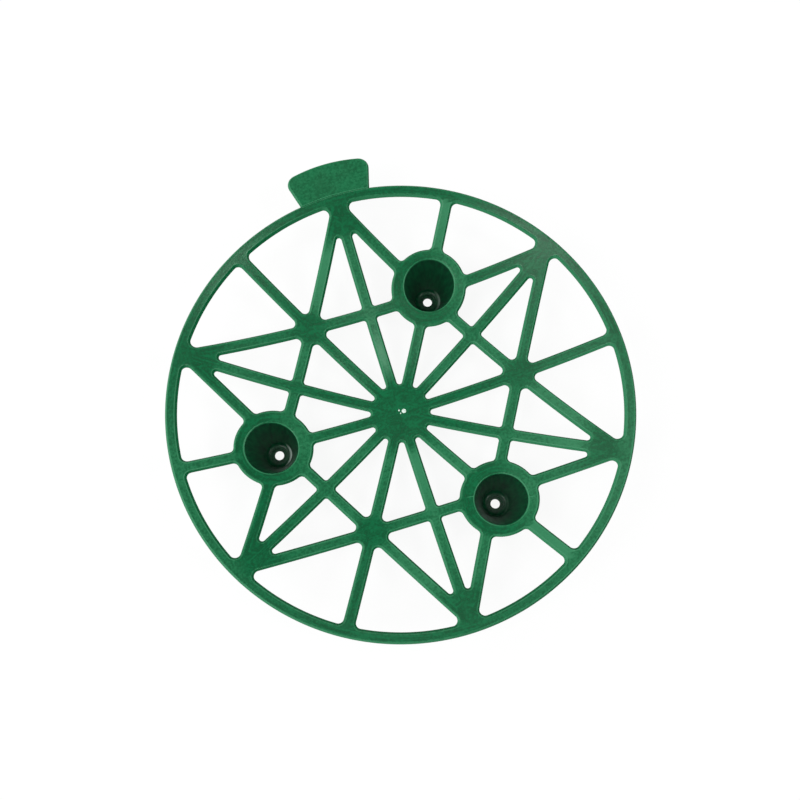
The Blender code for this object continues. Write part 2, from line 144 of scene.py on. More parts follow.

# The gate mark's torn stumps: place from the hub's middle, and radius as a share of the mark's.
# Their whole thickness, most of it inside the hub, is so many times their height above it
# Their white stands for whitened torn plastic and also for painted glints on the stumps
GATE_STUMPS = ((0.00158, 0.00024, 1.0), (-0.00039, 0.00111, 0.42), (-0.00006, -0.00037, 0.32))
GATE_THICKNESS = 3.0

# A flat curve fills badly along lines parallel to X, so it is filled turned by this much
FILL_TURN = math.radians(7.0)

# Faces that meet at a smaller angle look like one
SMOOTH_ANGLE = math.radians(32.0)

WHITE = (1.0, 1.0, 1.0, 1.0)

# How much of the floor's white is its own glow, the rest being lit, and over which distances it
# turns all to glow
FLOOR_GLOW = 0.88
FLOOR_FADE = (0.3, 1.1)

# The nearest that the camera sees
CLIP_START = 0.01

# Each lamp's width, and its azimuth and elevation in degrees as seen from the tray
LAMPS = {
    "left": (1.60, 160.0, 38.0),
    "right": (1.00, -17.0, 25.0),
    "back": (1.00, 78.0, 27.0),
    "front": (1.00, -102.0, 18.0),
    "key": (0.40, 199.0, 60.0),
    "fill": (0.28, -39.0, 58.0),
    "top": (0.10, 16.0, 86.5),
}


def length(name, description, default):
    return FloatProperty(
        name=name, description=description, default=default,
        min=0.0, precision=5, unit="LENGTH", subtype="DISTANCE",
    )


def power(name, description, default):
    return FloatProperty(name=name, description=description, default=default, min=0.0, unit="POWER")


def hex_colour(code):
    """An sRGB colour such as 2a6f48 as linear red, green and blue, and opaque."""
    parts = [int(code[i:i + 2], 16) / 255.0 for i in (0, 2, 4)]
    linear = [part / 12.92 if part <= 0.04045 else ((part + 0.055) / 1.055) ** 2.4 for part in parts]
    return [*linear, 1.0]


def colour(name, description, code):
    return FloatVectorProperty(
        name=name, description=description, default=hex_colour(code),
        min=0.0, max=1.0, size=4, subtype="COLOR",
    )


class TraySizes(bpy.types.PropertyGroup):
    """Sizes of the moulding"""

    rim_radius: length("Rim radius", "Outer radius of the rim", (RIM_HIGH.x - RIM_LOW.x) / 2.0)
    height: length("Height", "From the feet to the rim's upper edge", CAD_HIGH.z - CAD_LOW.z)
    rim_width: length("Rim width", "Width of the rim seen from above", 0.0046)
    thickness: length("Thickness", "Thickness of the lattice", 0.0025)
    rib_width: length("Rib width", "Width of the ribs and of the star's bars", 0.0050)
    dish_radius: length("Dish radius", "Radius of the sphere that the dish follows", 0.220)
    hub_flat: length("Hub flat", "Radius of the flat middle", 0.01523)
    tip_radius: length("Tip radius", "Distance of the star's tips from the middle", 0.0930)
    narrow_corner: length("Narrow corner", "Corner radius at the hub, tips and crossings", 0.0012)
    joint_corner: length("Joint corner", "Corner radius at the joints and the flanges", 0.0020)
    rim_corner: length("Rim corner", "Corner radius where ribs meet the rim", 0.0022)
    side: length("Side", "How far the lattice's drafted sides and round edges reach in", 0.00125)


class LegSizes(bpy.types.PropertyGroup):
    """Sizes of the hollow legs"""

    cup_offset: length("Cup offset", "How far a cup's centre lies outside the star's crossing", 0.0027)
    flange_radius: length("Flange radius", "Radius of the flange round a cup", 0.0165)
    mouth_radius: length("Mouth radius", "Radius of a cup's mouth", 0.0111)
    lip_round: length("Lip rounding", "Rounding of a cup's lip", 0.0006)
    wall: length("Wall", "Thickness of a leg's wall", 0.0015)
    floor_radius: length("Floor radius", "Inner radius of a leg at its floor", 0.0054)
    floor_height: length("Floor height", "Thickness of a leg's floor", 0.0015)
    floor_round: length("Floor rounding", "Rounding between a leg's wall and floor", 0.0015)
    drain_radius: length("Drain radius", "Radius of the drain hole", 0.00205)
    step_radius: length("Step radius", "Radius of the step round the drain hole", 0.0034)
    step_depth: length("Step depth", "Depth of the step round the drain hole", 0.0006)
    foot_round: length("Foot rounding", "Rounding of a foot's edge", 0.0004)
    root_round: length("Root rounding", "Rounding where a leg leaves the flange", 0.0012)
    blend_depth: length("Blend depth", "Depth over which a leg follows the tilt of its flange", 0.0100)


class TabSizes(bpy.types.PropertyGroup):
    """Sizes of the grip tab and the gate mark"""

    reach: length("Reach", "How far the tab reaches past the rim", TAB_HIGH.y - RIM_HIGH.y)
    root_width: length("Root width", "Width of the tab at the rim", 0.0313)
    end_width: length("End width", "Width of the tab at its end", 0.0389)
    end_radius: length("End radius", "Radius of the tab's outer edge", 0.066)
    corner: length("Corner", "Radius of the tab's corners", 0.0047)
    thickness: length("Thickness", "Thickness of the tab", 0.0025)
    side: length("Side", "How far the tab's drafted sides and round edges reach in", 0.00105)
    root_depth: length("Root depth", "How far the tab is set into the rim", 0.0011)
    step_down: length("Step down", "How far the tab lies below the rim's crest", 0.0001)
    gate_radius: length("Gate radius", "Radius of the gate mark's largest stump", 0.00100)
    gate_height: length("Gate height", "Height of the gate mark above the hub", 0.00015)


class TrayFinish(bpy.types.PropertyGroup):
    """Colours of the moulding and its stage"""

    deep_green: colour("Deep green", "Colour of the plastic between the flow lines", "054f2d")
    light_green: colour("Light green", "Colour of the flow lines in the plastic", "09663d")
    # Painted sheen: the colour drawn on members that the lamps catch
    pale_green: colour("Pale green", "Colour of the palest ribs", "27744c")
    # Painted highlights: the colour drawn on round edges, lips and lit sides
    edge_green: colour("Edge green", "Colour of the rubbed edges", "38845c")
    # A painted glare on one rib beside the gate
    blush: colour("Glare", "Colour of the pale blush on one rib beside the gate", "54926f")
    side_green: colour("Side green", "Colour of the lattice's sides", "06522e")
    # Painted shade: the darker green drawn inside the hollows
    inside_green: colour("Inside green", "Colour inside the hollows", "063420")
    # The gate's white also paints the glints on the floors of the hollows
    gate: colour("Gate", "Colour of the torn plastic at the gate and of scuffed floors", "dff0e6")
    floor: colour("Floor", "Colour of the floor", "f4f4f4")


class StageSettings(bpy.types.PropertyGroup):
    """Camera and lamps"""

    lens: FloatProperty(
        name="Lens", description="Focal length of the camera, with a sensor of 36 mm",
        default=42.3046, min=1.0, unit="CAMERA")
    camera_place: FloatVectorProperty(
        name="Camera place", description="Where the camera stands",
        default=(-0.0257083, -0.0959339, 0.4123272), subtype="TRANSLATION", unit="LENGTH")
    camera_turn: FloatVectorProperty(
        name="Camera turn", description="How the camera is turned",
        default=[math.radians(a) for a in (13.7213, 0.2768, -17.2931)], subtype="EULER")
    left_power: power("Left panel", "Power of the large panel at the left", 8.0)
    right_power: power("Right panel", "Power of the low panel at the right", 3.4)
    back_power: power("Back panel", "Power of the low panel at the back", 1.7)
    front_power: power("Front panel", "Power of the low panel at the front", 0.4)
    key_power: power("Key lamp", "Power of the lamp at the front left", 2.4)
    fill_power: power("Fill lamp", "Power of the lamp at the front right", 1.8)
    top_power: power("Top lamp", "Power of the small lamp overhead", 0.35)
    sky: FloatProperty(
        name="Sky", description="Brightness of the light from all round", default=0.38, min=0.0)
    lamp_distance: length("Lamp distance", "Distance of the lamps from the tray", 1.1)
    floor_radius: length("Floor radius", "Radius of the floor", 1.5)
    floor_sides: IntProperty(
        name="Floor sides", description="Number of sides of the round floor", default=96, min=3)


# ---- outlines

def polar(radius, angle):
    return Vector((radius * math.cos(angle), radius * math.sin(angle)))


def left_of(direction):
    return Vector((-direction.y, direction.x))


def arc(centre, start, end, hand, step):
    """Points from start to end round centre, counter-clockwise with hand +1."""
    first = start - centre
    last = end - centre
    turn = math.atan2(first.x * last.y - first.y * last.x, first.dot(last))
    if turn * hand < 0.0:
        turn += hand * 2.0 * math.pi
    steps = max(2, math.ceil(abs(turn) / step))
    points = []
    for i in range(steps + 1):
        angle = turn * i / steps
        points.append(centre + Vector((
            first.x * math.cos(angle) - first.y * math.sin(angle),
            first.x * math.sin(angle) + first.y * math.cos(angle),
        )))
    return points


def circle(centre, radius, step):
    """Points all round centre, counter-clockwise from +X."""
    east = Vector((radius, 0.0))
    half_way = arc(centre, centre + east, centre - east, 1.0, step)
    return half_way + arc(centre, centre - east, centre + east, 1.0, step)[1:-1]


class StraightSide:
    """A straight side of a window, which lies on its left."""

    def __init__(self, through, angle, rib_width):
        self.along = polar(1.0, angle)
        self.left = left_of(self.along)
        self.start = through + self.left * rib_width / 2.0

    def touch(self, centre, radius):
        return centre - self.left * radius


class RoundSide:
    """A round side of a window, which lies inside it with hand +1, outside with -1."""

    def __init__(self, centre, radius, hand, step):
        self.centre = centre
        self.radius = radius
        self.hand = hand
        self.step = step

    def touch(self, centre, radius):
        return self.centre + (centre - self.centre).normalized() * self.radius


def corner_centre(before, after, radius):
    """Centre of the round corner between two sides of a window."""
    if isinstance(before, StraightSide) and isinstance(after, StraightSide):
        first = before.start + before.left * radius
        second = after.start + after.left * radius
        cross = before.along.x * after.along.y - before.along.y * after.along.x
        apart = second - first
        distance = (apart.x * after.along.y - apart.y * after.along.x) / cross
        return first + before.along * distance
    line, ring, order = before, after, 1.0
    if isinstance(before, RoundSide):
        line, ring, order = after, before, -1.0
    base = line.start + line.left * radius - ring.centre
    reach = ring.radius - ring.hand * radius
    half = base.dot(line.along)
    root = math.sqrt(half ** 2 - base.length_squared + reach ** 2)
    return ring.centre + base + line.along * (ring.hand * order * root - half)


def window_outline(sides):
    """Closed outline of a window from its sides, each with the radius of the corner after it."""
    count = len(sides)
    corners = []
    for index, (side, radius) in enumerate(sides):
        following = sides[(index + 1) % count][0]
        centre = corner_centre(side, following, radius)
        corners.append((centre, side.touch(centre, radius), following.touch(centre, radius)))
    outline = []
    for index, (centre, start, end) in enumerate(corners):
        outline += arc(centre, start, end, 1.0, ARC_STEP)
        following = sides[(index + 1) % count][0]
        if isinstance(following, RoundSide):
            next_start = corners[(index + 1) % count][1]
            outline += arc(following.centre, end, next_start, following.hand, following.step)[1:-1]
    return outline


def sector_windows(tray, legs, with_cup):
    """The three windows between a rib along +X and the long rib at its left."""
    crossing = Vector((crossing_radius(tray), 0.0))
    middle = Vector((0.0, 0.0))
    width = tray.rib_width
    rib = StraightSide(middle, 0.0, width)
    long_rib = StraightSide(middle, math.pi + RADIAL_STEP, width)
    inner_bar_in = StraightSide(crossing, 2.0 * STAR_STEP, width)
    inner_bar_out = StraightSide(crossing, -STAR_STEP, width)
    tip_bar_in = StraightSide(crossing, STAR_STEP, width)
    tip_bar_out = StraightSide(crossing, math.pi + STAR_STEP, width)
    rim = RoundSide(middle, tray.rim_radius - tray.rim_width, 1.0, RIM_STEP)
    joint = tray.joint_corner
    narrow = tray.narrow_corner
    edge = tray.rim_corner
    at_cup = []
    if with_cup:
        centre = crossing + Vector((legs.cup_offset, 0.0))
        at_cup = [(RoundSide(centre, legs.flange_radius, -1.0, FLANGE_STEP), joint)]
    return [
        window_outline([(rib, joint)] + at_cup + [(inner_bar_in, narrow), (long_rib, narrow)]),
        window_outline([(tip_bar_in, narrow), (long_rib, narrow), (inner_bar_out, joint)] + at_cup),
        window_outline([(rib, edge), (rim, edge), (tip_bar_out, joint)] + at_cup),
    ]


def lattice_outlines(tray, legs):
    """The rim's outer edge and the 36 windows of the lattice."""
    outlines = [circle(Vector((0.0, 0.0)), tray.rim_radius, RIM_STEP)]
    for angles, with_cup in ((CUP_ANGLES, True), (JOINT_ANGLES, False)):
        windows = sector_windows(tray, legs, with_cup)
        for angle in angles:
            along = polar(1.0, angle)
            for hand in (1.0, -1.0):
                for window in windows:
                    outlines.append([along * p.x + left_of(along) * (p.y * hand) for p in window])
    return outlines


def tab_outline(tray, tab):
    """The grip tab's outline: a root inside the rim, round corners and an arched end."""
    root_half = tab.root_width / 2.0
    end_half = tab.end_width / 2.0
    end_reach = tray.rim_radius + tab.reach
    root = Vector((root_half, math.sqrt(tray.rim_radius ** 2 - root_half ** 2)))
    end_centre = Vector((0.0, end_reach - tab.end_radius))
    end_corner = Vector((end_half, end_centre.y + math.sqrt(tab.end_radius ** 2 - end_half ** 2)))
    side = (end_corner - root).normalized()
    root -= side * tab.root_depth
    inward = left_of(side)
    base = root + inward * tab.corner - end_centre
    reach = tab.end_radius - tab.corner
    half = base.dot(side)
    corner = end_centre + base + side * (math.sqrt(half ** 2 - base.length_squared + reach ** 2) - half)
    on_side = corner - inward * tab.corner
    on_end = end_centre + (corner - end_centre) * (tab.end_radius / reach)
    right = [root] + arc(corner, on_side, on_end, 1.0, ARC_STEP)
    mirrored = [Vector((-p.x, p.y)) for p in reversed(right)]
    end_arc = arc(end_centre, right[-1], mirrored[0], 1.0, RIM_STEP)[1:-1]
    root_arc = arc(Vector((0.0, 0.0)), mirrored[-1], right[0], -1.0, RIM_STEP)[1:-1]
    return right + end_arc + mirrored + root_arc


# ---- modelling

def only(piece):
    """Leave edit mode and make piece the only selected object."""
    if bpy.context.object is not None and bpy.context.object.mode != "OBJECT":
        bpy.ops.object.mode_set(mode="OBJECT")
    bpy.ops.object.select_all(action="DESELECT")
    piece.select_set(True)
    bpy.context.view_layer.objects.active = piece


def edit_all(piece):
    """Enter edit mode on piece alone, with all of it selected."""
    only(piece)
    bpy.ops.object.mode_set(mode="EDIT")
    bpy.ops.mesh.select_all(action="SELECT")


def weld(piece):
    """Merge doubles and turn the faces outwards."""
    edit_all(piece)
    bpy.ops.mesh.remove_doubles(threshold=WELD_DISTANCE)
    bpy.ops.mesh.dissolve_degenerate(threshold=WELD_DISTANCE)
    bpy.ops.mesh.select_all(action="SELECT")
    bpy.ops.mesh.normals_make_consistent(inside=False)
    bpy.ops.object.mode_set(mode="OBJECT")


def put_in_order(piece):
    """Number a piece's points and faces by their places, so that every run gives the same mesh.
    Extruding numbers them anew each time, and what is welded later depends on it."""
    mesh = piece.data
    points = sorted(vertex.co[:] for vertex in mesh.vertices)
    number = {point: index for index, point in enumerate(points)}
    faces = []
    for face in mesh.polygons:
        corners = [number[mesh.vertices[i].co[:]] for i in face.vertices]
        first = corners.index(min(corners))
        faces.append(corners[first:] + corners[:first])
    mesh.clear_geometry()
    mesh.from_pydata(points, [], sorted(faces))


def apply_modifier(piece, modifier):
    only(piece)
    bpy.ops.object.modifier_apply(modifier=modifier.name)


def flat_plate(name, outlines, thickness, side):
    """A flat plate with its top at z = 0, cut to closed outlines, widest half way down its sides."""
    curve = bpy.data.curves.new(name, "CURVE")
    curve.dimensions = "2D"
    curve.fill_mode = "BOTH"
    curve.bevel_mode = "PROFILE"
    curve.bevel_depth = side
    curve.offset = -side
    for out, up in SIDE_PROFILE:
        curve.bevel_profile.points.add(out, up)
    curve.bevel_profile.update()
    curve.bevel_resolution = len(SIDE_PROFILE)
    along = polar(1.0, FILL_TURN)
    for outline in outlines:
        spline = curve.splines.new("POLY")
        spline.points.add(len(outline) - 1)
        for point, place in zip(spline.points, outline):
            turned = along * place.x + left_of(along) * place.y
            point.co = (turned.x, turned.y, 0.0, 1.0)
        spline.use_cyclic_u = True
    plate = bpy.data.objects.new(name, curve)
    bpy.context.scene.collection.objects.link(plate)
    only(plate)
    bpy.ops.object.convert(target="MESH")
    plate = bpy.context.object
    plate.rotation_euler.z = -FILL_TURN
    bpy.ops.object.transform_apply(location=False, rotation=True, scale=False)
    edit_all(plate)
    bpy.ops.transform.resize(value=(1.0, 1.0, thickness / 2.0 / side), center_override=(0.0, 0.0, 0.0))
    bpy.ops.transform.translate(value=(0.0, 0.0, -thickness / 2.0))
    weld(plate)
    return plate


def turned_body(name, centre, rings):
    """A solid turned about an upright axis, from rings of radius, height and sideways shift."""
    radius, height, shift = rings[0]
    bpy.ops.object.select_all(action="DESELECT")
    bpy.ops.mesh.primitive_circle_add(
        vertices=LEG_SEGMENTS, radius=radius, fill_type="NGON",
        location=(centre.x + shift, centre.y, height),
    )
    body = bpy.context.object
    body.name = name
    edit_all(body)
    for (r0, z0, s0), (r1, z1, s1) in zip(rings, rings[1:]):
        bpy.ops.mesh.extrude_region_move(TRANSFORM_OT_translate={"value": (s1 - s0, 0.0, z1 - z0)})
        bpy.ops.transform.resize(
            value=(r1 / r0, r1 / r0, 1.0), center_override=(centre.x + s1, centre.y, z1))
    only(body)
    bpy.ops.object.transform_apply()
    weld(body)
    put_in_order(body)
    return body


def turned_copy(source, angle):
    """A copy of a piece with its own mesh, turned about the tray's axis."""
    only(source)
    bpy.ops.object.duplicate()
    copy = bpy.context.object
    copy.rotation_euler.z = angle
    bpy.ops.object.transform_apply(location=False, rotation=True, scale=False)
    return copy


def on_every_cup(source):
    """Copies of a piece at the three cups, joined, in place of the piece."""
    copies = [turned_copy(source, angle) for angle in CUP_ANGLES]
    bpy.data.objects.remove(source)
    only(copies[0])
    for copy in copies:
        copy.select_set(True)
    bpy.ops.object.join()
    return bpy.context.object


def combine(body, tool, operation):
    """Unite a body with a tool, or cut the tool out of it."""
    modifier = body.modifiers.new("combine", "BOOLEAN")
    modifier.operation = operation
    modifier.object = tool
    modifier.solver = "EXACT"
    apply_modifier(body, modifier)
    bpy.data.objects.remove(tool)
    if not body.data.polygons:
        raise RuntimeError(f"nothing is left of {body.name} after the {operation.lower()}")


def cut_into_facets(body, reach):
    """Cut a plate along straight lines both ways, so that it can follow a curve."""
    edit_all(body)
    count = math.ceil(reach / FACET_LENGTH)
    for normal in ((1.0, 0.0, 0.0), (0.0, 1.0, 0.0)):
        for i in range(-count + 1, count):
            bpy.ops.mesh.select_all(action="SELECT")
            bpy.ops.mesh.bisect(
                plane_co=[n * i * reach / count for n in normal], plane_no=normal,
                threshold=WELD_DISTANCE,
            )
    bpy.ops.mesh.select_all(action="SELECT")
    bpy.ops.mesh.quads_convert_to_tris()
    bpy.ops.mesh.dissolve_degenerate(threshold=WELD_DISTANCE)
    bpy.ops.object.mode_set(mode="OBJECT")


def lift(body, rise, tallest):
    """Raise each point of a body by rise, a function of its place, through a weight."""
    group = body.vertex_groups.new(name="lift")
    for vertex in body.data.vertices:
        group.add([vertex.index], rise(vertex.co) / tallest, "REPLACE")
    modifier = body.modifiers.new("lift", "DISPLACE")
    modifier.direction = "Z"
    modifier.mid_level = 0.0
    modifier.strength = tallest
    modifier.vertex_group = group.name
    apply_modifier(body, modifier)
    body.vertex_groups.remove(body.vertex_groups[group.name])


def mark_surface(plate, thickness, marks, in_hollow=lambda place: False, lip=0.0):
    """Before a plate is raised, write how pale each point is and where it lies across its member,
    and choose each face's finish."""
    edge = (1.0 - SIDE_PROFILE[0][1]) * thickness / 2.0
    paleness = []
    across = []
    for vertex in plate.data.vertices:
        pale, off = marks(vertex.co)
        # The round top edges are drawn paler: a painted highlight
        on_edge = SHALLOW < -vertex.co.z < edge
        paleness.append(pale + EDGE_PALENESS if on_edge else pale)
        across.append(off)
    for name, values in (("paleness", paleness), ("across", across)):
        attribute = plate.data.attributes.new(name, "FLOAT", "POINT")
        attribute.data.foreach_set("value", values)
    for face in plate.data.polygons:
        depth = -face.center.z
        if depth > edge and in_hollow(face.center):
            face.material_index = SHADED_POLISHED if depth > lip * MOULDED_LIP else MOULDED
        elif edge < depth < thickness - edge or depth > thickness + edge:
            face.material_index = MATT


def finish_piece(piece, name, finishes, *nodes):
    """Smooth a piece, set it on the frame, give it its finishes, each a function that makes the
    material of its own name, and let it stand for CAD nodes."""
    only(piece)
    piece.name = name
    piece.data.name = name
    bpy.ops.object.shade_smooth_by_angle(angle=SMOOTH_ANGLE, keep_sharp_edges=False)
    weigh = piece.modifiers.new("weigh", "WEIGHTED_NORMAL")
    weigh.keep_sharp = True
    apply_modifier(piece, weigh)
    piece.location = TRAY_AXIS
    bpy.ops.object.transform_apply()
    for finish in finishes:
        made = bpy.data.materials.get(finish.__name__)
        piece.data.materials.append(made or finish(bpy.context.scene.tray_finish))
    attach(piece, "root")
    if nodes:
        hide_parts(*nodes)


# ---- the dish

def dish_rise(tray, radius):
    """Height of the dish above its flat middle, at a radius."""
    if radius <= tray.hub_flat:
        return 0.0
    sphere = tray.dish_radius
    edge = sphere - math.sqrt(sphere ** 2 - tray.hub_flat ** 2)
    return sphere - math.sqrt(sphere ** 2 - radius ** 2) - edge


def dish_slope(tray, radius):
    """How steeply the dish rises at a radius."""
    return radius / math.sqrt(tray.dish_radius ** 2 - radius ** 2)


def dish_top(tray, radius):
    """Height of the lattice's top face at a radius, so that the rim's crest has the full height."""
    slope = dish_slope(tray, tray.rim_radius)
    crest = max(
        (up - 1.0) * tray.thickness / 2.0 + slope * (out - 1.0) * tray.side for out, up in SIDE_PROFILE)
    return tray.height - crest - dish_rise(tray, tray.rim_radius) + dish_rise(tray, radius)


def crossing_radius(tray):
    """Distance from the middle at which the star's bars cross beside a rib."""
    return tray.tip_radius / math.sqrt(3.0)


def cup_centre(tray, legs):
    """Centre of a cup on +X, before it is turned to its place."""
    return Vector((crossing_radius(tray) + legs.cup_offset, 0.0))


def fade(value, ends):
    """How far a value has come between two ends, from 0 to 1."""
    return min(max((value - ends[0]) / (ends[1] - ends[0]), 0.0), 1.0)


def between(ends, share):
    """The value at a share of the way from the first end to the second, never below zero."""
    return max(ends[0] + (ends[1] - ends[0]) * share, 0.0)


def rim_paleness(turn):
    """How pale the rim is at a turn from +X, counted in ribs."""
    ends = [RIM_PALENESS[i % len(RIM_PALENESS)] for i in (int(turn), int(turn) + 1)]
    return between(ends, turn % 1.0)


def members_near(tray, place, nearest):
    """How far a place lies across the nearest rib and each star bar, with how pale each is there."""
    radius = place.length
    past_hub = fade(radius, (tray.hub_flat, tray.hub_flat + tray.rib_width))
    rib_paleness = between(RIB_PALENESS[nearest], radius / tray.rim_radius) * past_hub
    members = [(left_of(polar(1.0, nearest * RADIAL_STEP)).dot(place), rib_paleness)]
    for i, ends in enumerate(BAR_PALENESS):
        normal = polar(1.0, RADIAL_STEP + STAR_STEP * i)
        along = left_of(normal).dot(place) / (tray.tip_radius * math.sqrt(3.0)) + 0.5
        members.append((normal.dot(place) - tray.tip_radius / 2.0, between(ends, along)))
    return members


def lattice_marks(tray, legs, place):
    """How pale the lattice is at a place, and how far the place lies across its own member."""
    place = place.xy
    radius = place.length
    turn = math.atan2(place.y, place.x) / RADIAL_STEP % len(RIM_PALENESS)
    if radius > tray.rim_radius - tray.rim_width:
        return rim_paleness(turn), radius
    for angle in CUP_ANGLES:
        off = place - polar(cup_centre(tray, legs).x, angle)
        if off.length < legs.flange_radius:
            # Painted light: the right half of a flange is drawn paler
            return FLANGE_PALENESS * fade(off.x / legs.flange_radius, (0.0, 1.0)), off.length
    joints = [polar(crossing_radius(tray), angle) for angle in JOINT_ANGLES]
    share = min(fade((place - joint).length, JOINT_FADE) for joint in joints)
    nearest = round(turn) % len(RIB_PALENESS)
    if nearest % 2:
        share *= 1.0 - fade(radius, TIP_FADE)
    members = members_near(tray, place, nearest)
    for across, pale in members:
        if abs(across) < tray.rib_width / 2.0:
            return pale * share, across
    return 0.0, min((across for across, pale in members), key=abs)


class HollowLeg:
    """A hollow leg on +X under the flat plate, whose top face is at height 0."""

    def __init__(self, tray, legs):
        self.tray = tray
        self.legs = legs
        self.centre = cup_centre(tray, legs)
        self.ground = -dish_top(tray, self.centre.x)
        self.floor = self.ground + legs.floor_height
        self.taper = (legs.mouth_radius - legs.floor_radius) / -self.floor
        self.slope = dish_slope(tray, self.centre.x)
        self.mouths = [polar(self.centre.x, angle) for angle in CUP_ANGLES]

    def tilt_share(self, height):
        """How much of the flange's tilt the leg follows: all in the plate, none further down."""
        below = (-self.tray.thickness - height) / self.legs.blend_depth
        share = min(max(1.0 - below, 0.0), 1.0)
        return share * share * (3.0 - 2.0 * share)

    def bore(self, height):
        """Inner radius of the cone."""
        return self.legs.mouth_radius + self.taper * height

    def ring(self, radius, height):
        """A ring's radius, height and shift, which keeps the cone round once the plate is raised."""
        return radius, height, self.taper * self.slope * radius * self.tilt_share(height)

    def side(self, wall, bottom, bottom_round, top, top_round):
        """Rings up a side of the leg: a round edge, the cone and a round turn into the flange."""
        start = bottom + bottom_round
        end = top - top_round
        turns = [
            (bottom + bottom_round * (1.0 - math.cos(turn)), bottom_round * (math.sin(turn) - 1.0))
            for turn in QUARTER_TURNS]
        turns += [(start + (end - start) * i / CONE_STEPS, 0.0) for i in range(1, CONE_STEPS + 1)]
        turns += [
            (end + top_round * math.sin(turn), top_round * (1.0 - math.cos(turn)))
            for turn in QUARTER_TURNS[:-1]]
        return [self.ring(self.bore(height) + wall + out, height) for height, out in turns]

    def outside(self):
        """Rings of the foot, the side and a top inside the plate."""
        legs = self.legs
        under = -self.tray.thickness
        root = self.bore(under) + legs.wall + legs.root_round
        return [
            self.ring(self.bore(self.ground) + legs.wall - legs.foot_round, self.ground),
            *self.side(legs.wall, self.ground, legs.foot_round, under, legs.root_round),
            self.ring(root, under + CLEAR_CUT),
            self.ring(root, under / 2.0),
        ]

    def inside(self):
        """Rings of the drain hole, the step round it, the floor, the side and the lip."""
        legs = self.legs
        step = self.floor - legs.step_depth
        mouth = legs.mouth_radius + legs.lip_round + CLEAR_CUT
        return [
            self.ring(legs.drain_radius, self.ground - PAST_FACE),
            self.ring(legs.drain_radius, step),
            self.ring(legs.step_radius, step),
            self.ring(legs.step_radius, self.floor),
            self.ring(legs.floor_radius - legs.floor_round, self.floor),
            *self.side(0.0, self.floor, legs.floor_round, 0.0, legs.lip_round),
            self.ring(mouth, CLEAR_CUT),
            self.ring(mouth, PAST_FACE),
        ]

    def holds(self, place):
        """Whether a place on the plate and its legs is on a hollow's side of their walls."""
        radius, height, shift = self.ring(self.bore(place.z), place.z)
        out = 1.0 + shift / self.centre.x
        reach = min((place.xy - mouth * out).length for mouth in self.mouths)
        return height > self.ground + CLEAR_CUT and reach < radius + self.legs.wall / 3.0


# ---- materials

def add_node(tree, kind, inputs, stops=(), **settings):
    """Add a node with its settings and colour stops, and set or link its inputs. A node among the
    inputs stands for its first output."""
    node = tree.nodes.new(kind)
    for name, value in settings.items():
        setattr(node, name, value)
    for index, (position, tint) in enumerate(stops):
        node.color_ramp.elements[index].position = position
        node.color_ramp.elements[index].color = tint
    for name, value in inputs.items():
        if isinstance(value, bpy.types.Node):
            value = value.outputs[0]
        if isinstance(value, bpy.types.NodeSocket):
            tree.links.new(value, node.inputs[name])
        else:
            node.inputs[name].default_value = value
    return node


def start_plastic(name, shine, roughness=0.5):
    """A new material of solid polypropylene, its nodes, its shader and the place on the tray."""
    material = bpy.data.materials.new(name)
    material.use_nodes = True
    tree = material.node_tree
    shader = tree.nodes["Principled BSDF"]
    shader.inputs["IOR"].default_value = PLASTIC_IOR
    shader.inputs["Roughness"].default_value = roughness
    shader.inputs["Specular IOR Level"].default_value = shine
    return material, tree, shader, add_node(tree, "ShaderNodeTexCoord", {}).outputs["Object"]


def facing(tree, direction, ends):
    """How far faces turn towards a direction: 0 up to the first end, 1 from the second."""
    normal = add_node(tree, "ShaderNodeNewGeometry", {}).outputs["Normal"]
    towards = add_node(
        tree, "ShaderNodeVectorMath", {0: normal, 1: direction}, operation="DOT_PRODUCT")
    return add_node(
        tree, "ShaderNodeMapRange",
        {"Value": towards.outputs["Value"], "From Min": ends[0], "From Max": ends[1]})


